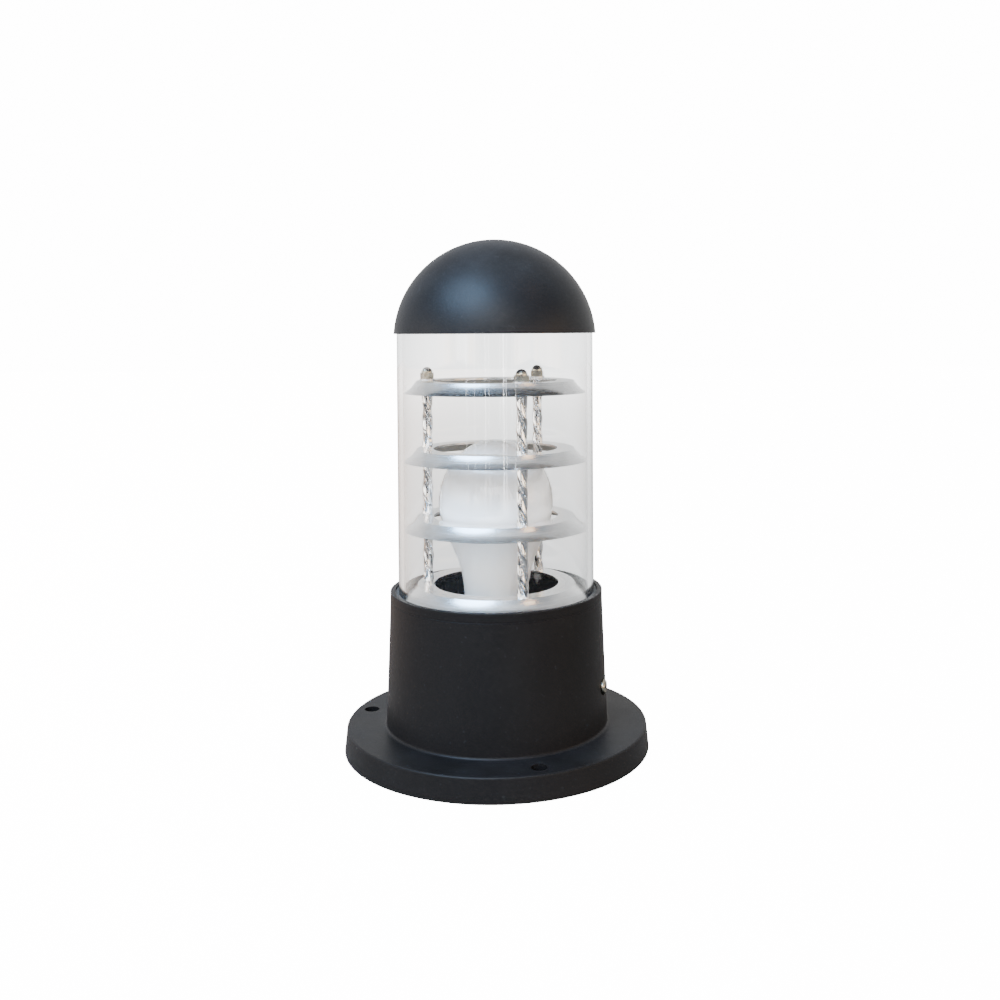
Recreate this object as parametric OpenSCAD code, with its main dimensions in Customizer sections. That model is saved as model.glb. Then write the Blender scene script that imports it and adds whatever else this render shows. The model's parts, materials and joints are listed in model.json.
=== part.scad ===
// Garden post light: cast base on a foot flange, clear tube with a cage of
// louvre rings round the lamp, and a cast dome cap.
// Origin at the centre of the flange's underside, Z up, front towards -Y.

/* [Base housing] */
// Height of the housing, from the ground to the seam under the collar
base_h = 82.5; // [78:0.5:120]
// How much wider the body is at its foot than at the seam, on each side
base_draft = 2.55; // [1:0.05:5]
// Wall of the casting
base_wall = 3.5; // [3:0.1:5]
// Width of the flange outside the body's foot
flange_w = 23.3; // [20:0.1:35]
// Height of the flange
flange_t = 13; // [10:0.5:18]
// How much the flange's edge leans in from ground to top
flange_draft = 1.3; // [0.5:0.1:2.5]
// Thickness of the plate over the hollow underside
flange_plate = 5.5; // [4:0.5:8]
// Thickness of the flange's outer wall
flange_wall = 5; // [4:0.5:7]
// Fillet where the body meets the flange
foot_fillet = 1.5; // [0.5:0.1:4]
// Thickness of the ribs under the flange
rib_t = 3; // [2:0.5:5]
// Ribs from one fixing hole to the next
ribs_per_hole = 4; // [2:1:6]

/* [Fixing holes] */
// Number of fixing holes
hole_count = 3; // [2:1:6]
// Diameter of a fixing hole
hole_d = 8.5; // [5:0.5:10]
// Distance of the hole circle from the flange's outer edge
hole_inset = 10.5; // [9:0.5:14]
// Diameter of the boss round a fixing hole
hole_boss_d = 18; // [14:1:20]
// Direction of the first fixing hole
hole_angle = 48; // [0:1:119]

/* [Collar] */
// Height of the rim over the seam
rim_h = 5.2; // [4.8:0.1:9]
// Wall of the rim
rim_wall = 2.85; // [2:0.05:5]
// Gap between the rim and the clear tube
rim_gap = 1.8; // [1.2:0.1:3]
// Depth of the recess inside the rim
recess_depth = 3.2; // [2.8:0.1:4]
// Thickness of the deck under the recess
deck_t = 7; // [5:0.5:10]
// Width of the ledge that carries the base ring
ledge_w = 4.85; // [3:0.05:5.5]
// Depth of the spigot that centres the collar in the housing
spigot_h = 7; // [6:0.5:8]
// Wall of the spigot and of the fixing legs
spigot_wall = 3.5; // [2.5:0.1:4]

/* [Side screws] */
// Height of the side screws over the ground
side_screw_z = 36; // [32:0.5:45]
// Direction of the first side screw
side_screw_angle = -16; // [-20:1:-8]
// Length of a side screw under its head
side_screw_len = 13; // [12:0.5:16]
// How deep the screw's seat is cut into the wall
screw_seat_depth = 0.45; // [0.3:0.05:0.8]
// Diameter of the screw's seat
screw_seat_d = 9.6; // [9:0.1:12]

/* [Clear tube] */
// Outer diameter of the tube
tube_od = 110; // [104:1:130]
// Wall of the tube
tube_wall = 3; // [2:0.5:4]
// Height of the light window, from the rim to the dome
window_h = 143.6; // [138:0.1:220]
// Thickness of the gaskets at the tube's ends
gasket_t = 1.2; // [0.8:0.1:2]

/* [Dome cap] */
// Height of the dome
dome_h = 52.8; // [40:0.1:56]
// Wall of the dome
dome_wall = 3.5; // [3:0.1:5]
// Width of the dome's lip outside the tube
dome_lip = 1.75; // [1.4:0.05:3]
// How deep the tube stands in the dome
dome_socket = 3.6; // [2.5:0.1:5]
// Thickness of the ring inside the tube's top
dome_spigot_wall = 2; // [1.5:0.1:3]

/* [Louvre cage] */
// Distance from ring to ring
ring_pitch = 38; // [30:0.5:40]
// Thickness of the ring's sheet
ring_t = 1.2; // [0.8:0.1:2]
// How far the flared edge falls
ring_drop = 6.5; // [6:0.1:9]
// Bow of the flared edge towards its inside
ring_bow = 0.7; // [0.2:0.1:1.2]
// Gap between the rings and the clear tube
ring_gap = 0.65; // [0.4:0.05:1.5]
// Gap between the lamp and the holes of the rings
lamp_gap = 2.9; // [1:0.1:5]
// Distance of the rods from the edge of the rings' holes
rod_inset = 4.5; // [4.5:0.1:6]
// Width of the flat outside the rods
rod_land = 4.9; // [4.6:0.1:5.2]
// Direction of the first tie rod
rod_angle = 52.3; // [46:0.1:58]
// Outer diameter of the twisted spacers
spacer_d = 6.2; // [5.8:0.1:8]
// Depth of the hollows in the spacers' sides
spacer_flute = 0.6; // [0.2:0.1:0.6]
// Turns of twist in one spacer
spacer_turns = 1.25; // [0.25:0.25:2]

/* [Lamp] */
// Diameter of the lamp's globe
lamp_d = 64.2; // [56:0.1:66]
// Height of the lamp over its foot contact
lamp_h = 116.5; // [105:0.5:120]
// Height of the globe's widest place over the foot contact
lamp_globe_h = 81.5; // [78:0.5:86]
// Diameter of the white body at its lower end
lamp_neck_d = 36; // [32:0.5:40]

/* [Lamp holder] */
// Diameter of the holder
holder_d = 41; // [40:0.5:46]
// Height of the lamp's foot contact over the holder's underside
contact_h = 19; // [17:0.5:20]
// Distance of the leads and screws from the holder's axis
holder_hole_r = 12; // [11.5:0.5:13.5]
// Direction of the bracket
bracket_angle = 130; // [124:1:136]
// Height of the bracket's legs
bracket_h = 38; // [37:0.5:39]
// Width of the bracket's strap
bracket_w = 16; // [12:0.5:18]
// Thickness of the bracket's strap
bracket_t = 2; // [1.5:0.1:2.5]

/* [Wiring] */
// Height of the terminal block's top over the ground
block_z = 28; // [26:0.5:30]
// Distance between two poles of the terminal block
pole_pitch = 12; // [11.6:0.2:13]
// Diameter of the internal leads
lead_d = 2.4; // [1.6:0.1:2.6]

/* [Hidden] */

$fn = 96;
fit_gap = 0.3;
screw_gap = 0.2;
thread_gap = 0.05;
cut = 1;
edge_r = 1;
rim_edge = 0.5;
seam_chamfer = 0.15;

// Standard small hardware
m4 = 4;
m4_clear = m4 + 2 * screw_gap;
m4_thread = m4 + 2 * thread_gap;
m4_nut_corners = 8.08;
m4_nut_h = 3.2;
m4_washer_d = 9;
m4_washer_t = 0.8;
m4_small_washer_d = 8;
m4_head = [8, 2.2];
m3 = 3;
m3_clear = m3 + 2 * screw_gap;
m3_thread = m3 + 2 * thread_gap;
m3_head = [5.2, 1.8];

// Radii of the housing, collar, tube and rings
tube_r = tube_od / 2;
tube_ir = tube_r - tube_wall;
rim_bore_r = tube_r + rim_gap;
rim_r = rim_bore_r + rim_wall;
foot_r = rim_r + base_draft;
flange_r = foot_r + flange_w;
flange_hollow_r = flange_r - flange_draft - flange_wall;
hole_circle_r = flange_r - hole_inset;
spigot_r = rim_r - base_wall - fit_gap;
spigot_ir = spigot_r - spigot_wall;
ring_r = tube_ir - ring_gap;
ledge_r = ring_r - ledge_w;
hole_r = lamp_d / 2 + lamp_gap;
rod_r = hole_r + rod_inset;
flat_r = rod_r + rod_land;

// Heights from the ground up
plate_z = flange_t - flange_plate;
spigot_z = base_h - spigot_h;
rim_z = base_h + rim_h;
recess_z = rim_z - recess_depth;
deck_z = recess_z - deck_t;
tube_z = recess_z + gasket_t;
dome_z = rim_z + window_h;
tube_top_z = dome_z + dome_socket;
ring_z = recess_z + ring_drop;
top_ring_z = ring_z + 3 * ring_pitch;

// Radius of the body's outside and of its cavity at the height z
function body_r(z) = foot_r - base_draft * (z - flange_t) / (base_h - flange_t);
function cavity_r(z) = body_r(z) - base_wall;

// Seats inside the housing: pads for the side screws, pad for the terminal
// block and boss for the earth screw
pad_r = spigot_r + fit_gap;
pad_half_h = 8;
pad_angle = 15;
side_seat_r = body_r(side_screw_z) - screw_seat_depth;
pole_w = 6.2;
block_d = 12;
block_h = 16;
block_gap = 3;
block_y = cavity_r(block_z) - block_gap - block_d;
block_grip = 4.5;
earth_z = 40;
earth_angle = 58;
earth_boss_d = 11;
earth_boss_r = cavity_r(earth_z) - 5;
earth_grip = 6;
tongue_t = 0.8;

// Fixing legs and bracket bosses of the collar
leg_angle = 13;
leg_z = side_screw_z - 6.5;
leg_boss_d = 10;
leg_boss_r = spigot_ir - 2.5;
bracket_boss_d = 12;
bracket_boss_z = deck_z - 3.5;
bracket_boss_r = ledge_r + 1;
bracket_grip = 8;

// Holder and lamp: the cap's rolled thread is a wave round its mean radius
bracket_top_z = bracket_boss_z - bracket_h;
foot_z = bracket_top_z + contact_h;
cap_mean_r = 12.85;
cap_wave = 0.35;
cap_pitch = 3.6;
cap_start = 3;
cap_len = 22.5;
holder_top_z = foot_z + cap_start + cap_len - fit_gap;
shell_lift = 1.2;
shell_z = foot_z + shell_lift;
shell_t = 0.4;
holder_bore_r = cap_mean_r + cap_wave + fit_gap + shell_t + screw_gap;
contact_r = 5;
contact_t = 0.8;
holder_grip = 6;
lead_bore_d = lead_d + 0.8;
lead_bore_h = 8;
contact_screw_z = bracket_top_z + 5;
contact_seat_r = holder_d / 2 - 3;
lead_spread = 20;
lead_side = bracket_angle - 90;

// Points of an arc round a centre, from angle a0 to a1
function arc(centre, r, a0, a1, steps) =
    [for (i = [0:steps]) let (a = a0 + (a1 - a0) * i / steps) centre + r * [cos(a), sin(a)]];

// Place at a radius and an angle round the axis, at the height z
function polar(r, angle, z) = [r * cos(angle), r * sin(angle), z];

// Point of a cubic curve with four controls
function bezier(p, t) =
    pow(1 - t, 3) * p[0] + 3 * t * pow(1 - t, 2) * p[1] + 3 * t * t * (1 - t) * p[2] + pow(t, 3) * p[3];
function bezier_points(p, steps) = [for (i = [0:steps]) bezier(p, i / steps)];

module around(count, first = 0) {
    for (i = [0:count - 1]) {
        rotate([0, 0, first + i * 360 / count]) children();
    }
}

// Cylinder along the radius, from r0 out to r1, at the height z
module radial_cylinder(d, r0, r1, z) {
    translate([r0, 0, z]) rotate([0, 90, 0]) cylinder(d = d, h = r1 - r0);
}

// Slice of a ring whose section is drawn as points of radius and height
module ring_slice(points, angle) {
    rotate([0, 0, -angle / 2]) rotate_extrude(angle = angle) polygon(points);
}

module washer(d, bore, t) {
    difference() {
        cylinder(d = d, h = t);
        translate([0, 0, -cut]) cylinder(d = bore, h = t + 2 * cut);
    }
}

// Pan-head screw with a cross recess: its head stands on z = 0, shank down
module pan_screw(d, len, head) {
    edge_h = head[1] * 0.4;
    crown_r = head[0] / 2 - (head[1] - edge_h);
    slot_w = head[0] * 0.13;
    slot_len = head[0] * 0.56;
    difference() {
        union() {
            rotate_extrude() polygon(concat(
                [[0, 0], [head[0] / 2, 0]],
                arc([crown_r, edge_h], head[1] - edge_h, 0, 90, 5),
                [[0, head[1]]]));
            translate([0, 0, -len]) cylinder(d = d, h = len + edge_h);
        }
        for (turn = [0, 90]) {
            rotate([0, 0, turn]) translate([-slot_len / 2, -slot_w / 2, edge_h])
                cube([slot_len, slot_w, head[1]]);
        }
    }
}

// Base housing: drafted body, flange with a ribbed hollow underside, fixing
// holes in bosses, and seats for the screws and the terminal block
module base_housing() {
    color("#202327") difference() {
        union() {
            base_shell();
            around(hole_count * ribs_per_hole, hole_angle) flange_rib();
            around(hole_count, hole_angle)
                translate([hole_circle_r, 0, 0]) cylinder(d = hole_boss_d, h = plate_z + cut);
            around(2, side_screw_angle) screw_pad();
            block_pad();
            rotate([0, 0, earth_angle])
                radial_cylinder(earth_boss_d, earth_boss_r, body_r(earth_z) - cut, earth_z);
        }
        around(hole_count, hole_angle)
            translate([hole_circle_r, 0, -cut]) cylinder(d = hole_d, h = flange_t + 2 * cut);
        around(2, side_screw_angle) {
            radial_cylinder(m4_clear, pad_r - cut, foot_r + cut, side_screw_z);
            radial_cylinder(screw_seat_d, side_seat_r, foot_r + 2 * cut, side_screw_z);
        }
        for (side = [-1, 1]) {
            translate([side * pole_pitch / 2, block_y + block_d - cut, block_z - block_h / 2])
                rotate([-90, 0, 0]) cylinder(d = m3_thread, h = cut + block_grip);
        }
        rotate([0, 0, earth_angle])
            radial_cylinder(m4_thread, earth_boss_r - cut, earth_boss_r + earth_grip, earth_z);
    }
}

module base_shell() {
    rotate_extrude() polygon(concat(
        [[cavity_r(plate_z), plate_z], [flange_hollow_r, plate_z], [flange_hollow_r + edge_r, 0]],
        [[flange_r, 0]],
        arc([flange_r - flange_draft - edge_r, flange_t - edge_r], edge_r, 0, 90, 4),
        arc([foot_r + foot_fillet, flange_t + foot_fillet], foot_fillet, 270, 180, 5),
        [[rim_r, base_h - seam_chamfer], [rim_r - seam_chamfer, base_h], [cavity_r(base_h), base_h]]));
}

module flange_rib() {
    inner = foot_r - base_wall;
    translate([inner, -rib_t / 2, cut]) cube([flange_hollow_r - inner + cut, rib_t, plate_z]);
}

module screw_pad() {
    top = side_screw_z + pad_half_h;
    bottom = side_screw_z - pad_half_h;
    ring_slice([[pad_r, bottom], [cavity_r(bottom) + cut, bottom], [cavity_r(top) + cut, top],
        [pad_r, top]], pad_angle);
}

module block_pad() {
    back_r = cavity_r(block_z) + base_wall / 2;
    pad_w = pole_pitch + 6;
    intersection() {
        translate([-pad_w / 2, block_y + block_d, block_z - block_h])
            cube([pad_w, back_r, block_h]);
        cylinder(r = back_r, h = base_h);
    }
}

// Head collar: rim round the tube, ledge for the base ring, spigot and two
// legs that the side screws hold, and two bosses for the lamp's bracket
module head_collar() {
    color("#272b30") difference() {
        union() {
            collar_ring();
            around(2, side_screw_angle)
                radial_cylinder(leg_boss_d, leg_boss_r, spigot_ir + cut, side_screw_z);
            around(2, bracket_angle)
                translate([bracket_boss_r, 0, bracket_boss_z])
                    cylinder(d = bracket_boss_d, h = recess_z - bracket_boss_z);
        }
        around(2, side_screw_angle + 90) skirt_gap();
        around(2, side_screw_angle)
            radial_cylinder(m4_thread, leg_boss_r - cut, spigot_r + cut, side_screw_z);
        around(2, bracket_angle)
            translate([bracket_boss_r, 0, bracket_boss_z - cut])
                cylinder(d = m4_thread, h = bracket_grip + cut);
    }
}

module collar_ring() {
    rotate_extrude() polygon(concat(
        [[spigot_r, leg_z], [spigot_r, base_h], [rim_r - seam_chamfer, base_h]],
        [[rim_r, base_h + seam_chamfer]],
        arc([rim_r - rim_edge, rim_z - rim_edge], rim_edge, 0, 90, 3),
        arc([rim_bore_r + rim_edge, rim_z - rim_edge], rim_edge, 90, 180, 3),
        [[rim_bore_r, recess_z], [ledge_r, recess_z], [ledge_r, deck_z], [spigot_ir, deck_z],
            [spigot_ir, leg_z]]));
}

// What is cut out of the skirt between the two legs, under the spigot
module skirt_gap() {
    inner = spigot_ir - cut;
    outer = spigot_r + cut;
    ring_slice([[inner, leg_z - cut], [outer, leg_z - cut], [outer, spigot_z], [inner, spigot_z]],
        180 - leg_angle);
}

// Gasket in the collar: a foot under the tube and a lip round it
module tube_gasket() {
    lip_top_z = tube_z + 1.2;
    lip_r = tube_r + fit_gap / 2;
    color("#3a3a3a") rotate_extrude() polygon([
        [tube_ir, recess_z], [rim_bore_r - fit_gap, recess_z], [rim_bore_r - fit_gap, lip_top_z],
        [lip_r, lip_top_z], [lip_r, tube_z], [tube_ir, tube_z]]);
}

module clear_tube() {
    color("#dfe9ee", 0.3) translate([0, 0, tube_z]) washer(tube_od, 2 * tube_ir, tube_top_z - tube_z);
}

module dome_gasket() {
    color("#3a3a3a") translate([0, 0, tube_top_z]) washer(tube_od, 2 * tube_ir, gasket_t);
}

// Dome cap: a cap of a sphere whose lip closes over the tube. A ring inside
// the tube's top leaves a groove for the tube and its gasket.
module dome_cap() {
    edge_radius = tube_r + dome_lip;
    dome_r = (edge_radius * edge_radius + dome_h * dome_h) / (2 * dome_h);
    inner_r = dome_r - dome_wall;
    centre_z = dome_z + dome_h - dome_r;
    socket_z = tube_top_z + gasket_t;
    shelf_z = socket_z + dome_wall;
    spigot = tube_ir - fit_gap;
    color("#2b3138") rotate_extrude() difference() {
        dome_half(dome_r, centre_z, dome_z);
        dome_half(inner_r, centre_z, shelf_z);
        translate([-cut, dome_z - cut])
            square([cut + spigot - dome_spigot_wall, shelf_z - dome_z + 2 * cut]);
        translate([spigot, dome_z - cut])
            square([tube_r + fit_gap - spigot, socket_z - dome_z + cut]);
    }
}

// Half of a round section, above the height low
module dome_half(r, centre_z, low) {
    intersection() {
        translate([0, centre_z]) circle(r = r);
        translate([0, low]) square([r + cut, centre_z + r]);
    }
}

// Louvre ring: spun sheet, flat round the hole and flared down at its edge
module louvre_ring(level) {
    color("#c9cdd1") translate([0, 0, ring_z + level * ring_pitch]) difference() {
        rotate_extrude() ring_section();
        around(3, rod_angle)
            translate([rod_r, 0, -ring_drop]) cylinder(d = m4_clear, h = ring_drop + cut);
    }
}

// Section of the sheet. The flare is an arc from the flat's edge down to the
// rim, bowed towards its inside and cut level at the bottom.
module ring_section() {
    top = [flat_r, 0];
    rim = [ring_r, -ring_drop];
    chord = norm(rim - top);
    outward = [ring_drop, ring_r - flat_r] / chord;
    bend_r = (chord * chord / 4 + ring_bow * ring_bow) / (2 * ring_bow);
    centre = (top + rim) / 2 + outward * (bend_r - ring_bow);
    reach = (bend_r + 2 * ring_t) / (bend_r - ring_bow);
    translate([hole_r, -ring_t]) square([flat_r - hole_r, ring_t]);
    intersection() {
        difference() {
            translate(centre) circle(r = bend_r + ring_t);
            translate(centre) circle(r = bend_r);
        }
        polygon([centre, centre + reach * (top - centre), centre + reach * (rim - centre)]);
        translate([hole_r, -ring_drop]) square([ring_r, ring_drop + cut]);
    }
}

// Tie rods, with washers and nuts at both ends
rod_tail = 8.6;
cap_nut_h = 6.7;
cap_hex_h = 3.4;
cap_dome_r = 3.2;
cap_roof = 1.8;
cap_nut_z = top_ring_z + m4_washer_t;
rod_top_z = cap_nut_z + cap_nut_h - cap_roof;
rod_nut_z = ring_z - ring_t - m4_washer_t - m4_nut_h;

module at_rod(i) {
    rotate([0, 0, rod_angle + i * 120]) translate([rod_r, 0, 0]) children();
}

module at_rods() {
    for (i = [0:2]) {
        at_rod(i) children();
    }
}

module tie_rod(i) {
    color("#b9bcc0") at_rod(i) translate([0, 0, ring_z - rod_tail])
        cylinder(d = m4, h = rod_top_z - ring_z + rod_tail);
}

module cap_nuts() {
    color("#c3b9a6") at_rods() translate([0, 0, cap_nut_z]) difference() {
        union() {
            cylinder(d = m4_nut_corners, h = cap_hex_h, $fn = 6);
            rotate_extrude($fn = 48) polygon(concat(
                [[0, 0], [cap_dome_r, 0]],
                arc([0, cap_nut_h - cap_dome_r], cap_dome_r, 0, 90, 8)));
        }
        translate([0, 0, -cut]) cylinder(d = m4_thread, h = cap_nut_h - cap_roof + cut + thread_gap);
    }
}

module top_washers() {
    color("#c0c3c6") at_rods() translate([0, 0, top_ring_z]) washer(m4_washer_d, m4_clear, m4_washer_t);
}

module bottom_washers() {
    color("#c0c3c6") at_rods() translate([0, 0, rod_nut_z + m4_nut_h])
        washer(m4_small_washer_d, m4_clear, m4_washer_t);
}

module rod_nuts() {
    color("#b0b3b6") at_rods() translate([0, 0, rod_nut_z]) difference() {
        cylinder(d = m4_nut_corners, h = m4_nut_h, $fn = 6);
        translate([0, 0, -cut]) cylinder(d = m4_thread, h = m4_nut_h + 2 * cut);
    }
}

// Twisted spacer: a bar of oval section, bored for its rod, that stands on one ring
// and carries the next
module spacer(i, level) {
    lobes = 2;
    sides = 16;
    h = ring_pitch - ring_t;
    mean_r = spacer_d / 2 - spacer_flute / 2;
    color("#e4e6e8") at_rod(i) translate([0, 0, ring_z + level * ring_pitch]) difference() {
        linear_extrude(height = h, twist = 360 * spacer_turns, slices = 24 * spacer_turns, $fn = sides)
            polygon([for (k = [0:sides - 1])
                let (a = k * 360 / sides, r = mean_r + spacer_flute / 2 * cos(lobes * a))
                    [r * cos(a), r * sin(a)]]);
        translate([0, 0, -cut]) cylinder(d = m4_clear, h = h + 2 * cut, $fn = 32);
    }
}

// Lamp: opal globe, white body and rolled cap as one sealed solid
module led_lamp() {
    globe_steps = 14;
    neck_r = lamp_neck_d / 2;
    neck_h = cap_start + cap_len + 2;
    globe_r = lamp_d / 2;
    globe_round = 19.5;
    color("#f2f2f0") translate([0, 0, foot_z]) rotate_extrude() polygon(concat(
        [[0, 0], [4.5, 0], [5, 0.8], [9.5, cap_start - 0.6]],
        [for (h = [0:cap_pitch / 6:cap_len]) [cap_r(h), cap_start + h]],
        [[cap_mean_r, cap_start + cap_len], [neck_r - 1, neck_h - 1]],
        bezier_points([[neck_r, neck_h], [neck_r, neck_h + (lamp_globe_h - neck_h) / 2],
            [globe_r, lamp_globe_h - globe_round], [globe_r, lamp_globe_h]], 14),
        [for (i = [1:globe_steps - 1]) let (a = 90 * i / globe_steps)
            [globe_r * cos(a), lamp_globe_h + (lamp_h - lamp_globe_h) * sin(a)]],
        [[0, lamp_h]]));
}

// Radius of the cap's rolled thread at the height h over the thread's start
function cap_r(h) = cap_mean_r + cap_wave * cos(360 * h / cap_pitch);

// Lamp holder: moulded body with bores for the leads, rolled screw shell,
// foot contact, and screws that hold the leads
module holder_body() {
    head_bore_d = m3_head[0] + 2 * screw_gap;
    rim = holder_d / 2;
    color("#e9e6df") difference() {
        rotate_extrude() polygon([
            [0, bracket_top_z], [rim - 1.5, bracket_top_z], [rim, bracket_top_z + 1.5],
            [rim, holder_top_z - 9], [rim - 1.5, holder_top_z - 8], [rim - 1.5, holder_top_z - 1],
            [rim - 2.5, holder_top_z], [holder_bore_r, holder_top_z], [holder_bore_r, shell_z],
            [holder_bore_r - 5, shell_z], [holder_bore_r - 5, foot_z - contact_t],
            [0, foot_z - contact_t]]);
        around(2, bracket_angle)
            translate([holder_hole_r, 0, bracket_top_z - cut])
                cylinder(d = m4_thread, h = holder_grip + cut);
        at_leads() {
            translate([holder_hole_r, 0, bracket_top_z - cut])
                cylinder(d = lead_bore_d, h = lead_bore_h + cut);
            radial_cylinder(m3_thread, holder_hole_r, rim + cut, contact_screw_z);
            radial_cylinder(head_bore_d, contact_seat_r, rim + cut, contact_screw_z);
        }
    }
}

// The directions in which the two lamp leads enter the holder
module at_leads() {
    for (side = [-1, 1]) {
        rotate([0, 0, lead_side + side * lead_spread]) children();
    }
}

module screw_shell() {
    flange_ir = holder_bore_r - 4.5;
    step = cap_pitch / 6;
    rise = cap_start - shell_lift;
    color("#c9a544") translate([0, 0, shell_z]) rotate_extrude() polygon(concat(
        [[flange_ir, 0]],
        [for (h = [0:step:cap_len]) [cap_r(h - rise) + fit_gap + shell_t, h]],
        [for (i = [floor(cap_len / step):-1:1]) [cap_r(i * step - rise) + fit_gap, i * step]],
        [[flange_ir, shell_t]]));
}

module foot_contact() {
    color("#c9a544") translate([0, 0, foot_z - contact_t]) cylinder(r = contact_r, h = contact_t);
}

module contact_screws() {
    shank = contact_seat_r - holder_hole_r - lead_d / 2 - thread_gap;
    color("#c0c3c6") at_leads()
        translate([contact_seat_r, 0, contact_screw_z]) rotate([0, 90, 0]) pan_screw(m3, shank, m3_head);
}

// Bracket: strap bent up at both sides of the holder and out under the
// collar's bosses, with the holder's screws and its own
module holder_bracket() {
    half = strap_half();
    other = [for (i = [len(half) - 1:-1:0]) [-half[i][0], half[i][1]]];
    color("#a9adb0") difference() {
        rotate([0, 0, bracket_angle]) translate([0, bracket_w / 2, 0]) rotate([90, 0, 0])
            linear_extrude(height = bracket_w) polygon(concat(half, other));
        around(2, bracket_angle) {
            translate([bracket_boss_r, 0, bracket_boss_z - bracket_t - cut])
                cylinder(d = m4_clear, h = bracket_t + 2 * cut);
            translate([holder_hole_r, 0, bracket_top_z - bracket_t - cut])
                cylinder(d = m4_clear, h = bracket_t + 2 * cut);
        }
    }
}

// Outline of half the strap, from the middle of its underside round its end
// and back to the middle of its top
function strap_half() =
    let (t = bracket_t, bend = 3.5, leg = bracket_boss_r - 6, end = bracket_boss_r + 4,
        low = bracket_top_z - t, high = bracket_boss_z) concat(
        [[0, low]],
        arc([leg - bend, low + bend], bend, -90, 0, 5),
        arc([leg + bend - t, high - bend], bend - t, 180, 90, 4),
        [[end, high - t], [end, high]],
        arc([leg + bend - t, high - bend], bend, 90, 180, 5),
        arc([leg - bend, low + bend], bend - t, 0, -90, 4),
        [[0, low + t]]);

module holder_screws() {
    color("#c0c3c6") around(2, bracket_angle)
        translate([holder_hole_r, 0, bracket_top_z - bracket_t]) rotate([180, 0, 0])
            pan_screw(m4, holder_grip + bracket_t - screw_gap, m4_head);
}

module bracket_screws() {
    color("#c0c3c6") around(2, bracket_angle)
        translate([bracket_boss_r, 0, bracket_boss_z - bracket_t]) rotate([180, 0, 0])
            pan_screw(m4, bracket_grip + bracket_t - screw_gap, m4_head);
}

module side_screws() {
    color("#d4d0c8") around(2, side_screw_angle)
        translate([side_seat_r, 0, side_screw_z]) rotate([0, 90, 0]) pan_screw(m4, side_screw_len, m4_head);
}

// Terminal block: three poles joined by webs, bored for the leads from above
// and below, with a clamping screw's bore at each end of a pole
module terminal_block() {
    web_t = 8;
    web_h = 11;
    color("#dcdad2") translate([0, block_y, block_z - block_h]) difference() {
        union() {
            for (pole = [-1:1]) {
                translate([pole * pole_pitch - pole_w / 2, 0, 0]) cube([pole_w, block_d, block_h]);
            }
            translate([-pole_pitch, block_d - web_t, (block_h - web_h) / 2])
                cube([2 * pole_pitch, web_t, web_h]);
        }
        for (pole = [-1:1]) {
            translate([pole * pole_pitch, block_d / 2, -cut])
                cylinder(d = lead_bore_d, h = block_h + 2 * cut);
            for (z = [block_h / 4, block_h * 3 / 4]) {
                translate([pole * pole_pitch, -cut, z]) rotate([-90, 0, 0])
                    cylinder(d = m3_clear, h = block_d / 2 + cut);
            }
        }
        for (side = [-1, 1]) {
            translate([side * pole_pitch / 2, 0, block_h / 2]) rotate([-90, 0, 0])
                cylinder(d = m3_clear, h = block_d + cut);
        }
    }
}

module block_screws() {
    seat_y = block_y + block_d - 8;
    color("#c0c3c6") for (side = [-1, 1]) {
        translate([side * pole_pitch / 2, seat_y, block_z - block_h / 2]) rotate([90, 0, 0])
            pan_screw(m3, 8 + block_grip - screw_gap, m3_head);
    }
}

// Earth screw and washer on the boss, over the tongue of the earth lead
module earth_washer() {
    color("#c0c3c6") rotate([0, 0, earth_angle])
        translate([earth_boss_r - tongue_t - m4_washer_t, 0, earth_z]) rotate([0, 90, 0])
            washer(m4_washer_d, m4_clear, m4_washer_t);
}

module earth_screw() {
    seat_r = earth_boss_r - tongue_t - m4_washer_t;
    color("#c9b25a") rotate([0, 0, earth_angle])
        translate([seat_r, 0, earth_z]) rotate([0, -90, 0])
            pan_screw(m4, earth_grip + tongue_t + m4_washer_t - screw_gap, m4_head);
}

// Internal leads: round tubes swept along smooth curves, from the holder's
// bores and the earth screw down into the poles of the terminal block
lead_in = 5;
lead_drop = 17;
lead_rise = 30;
earth_rise = 18;
earth_height = 36;
earth_straight = 8;

module lead_live() {
    color("#6b4a2e") lamp_lead(lead_side - lead_spread, 0);
}

module lead_neutral() {
    color("#2f5f9e") lamp_lead(lead_side + lead_spread, -1);
}

module lamp_lead(angle, pole) {
    from = polar(holder_hole_r, angle, bracket_top_z);
    to = pole_top(pole);
    tube_along(concat(
        [from + [0, 0, lead_in]],
        bezier_points([from, from - [0, 0, lead_drop], to + [0, 0, lead_rise], to], 24),
        [to - [0, 0, lead_in]]), [1, 0, 0]);
}

module lead_earth() {
    tongue_r = earth_boss_r - tongue_t;
    tongue_w = 3;
    tongue_top = 7.5;
    from = polar(earth_boss_r - tongue_t / 2, earth_angle, earth_z + tongue_top - cut);
    to = pole_top(1);
    color("#7f9a3a") {
        rotate([0, 0, earth_angle]) translate([tongue_r, 0, earth_z]) difference() {
            union() {
                rotate([0, 90, 0]) cylinder(d = m4_washer_d, h = tongue_t);
                translate([0, -tongue_w / 2, 0]) cube([tongue_t, tongue_w, tongue_top]);
            }
            translate([-cut, 0, 0]) rotate([0, 90, 0]) cylinder(d = m4_clear, h = tongue_t + 2 * cut);
        }
        tube_along(concat(
            bezier_points([from, from + [0, 0, earth_rise], to + [0, 0, earth_height],
                to + [0, 0, earth_straight]], 22),
            [to, to - [0, 0, lead_in]]), [0, 1, 0]);
    }
}

function pole_top(pole) = [pole * pole_pitch, block_y + block_d / 2, block_z];

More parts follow.
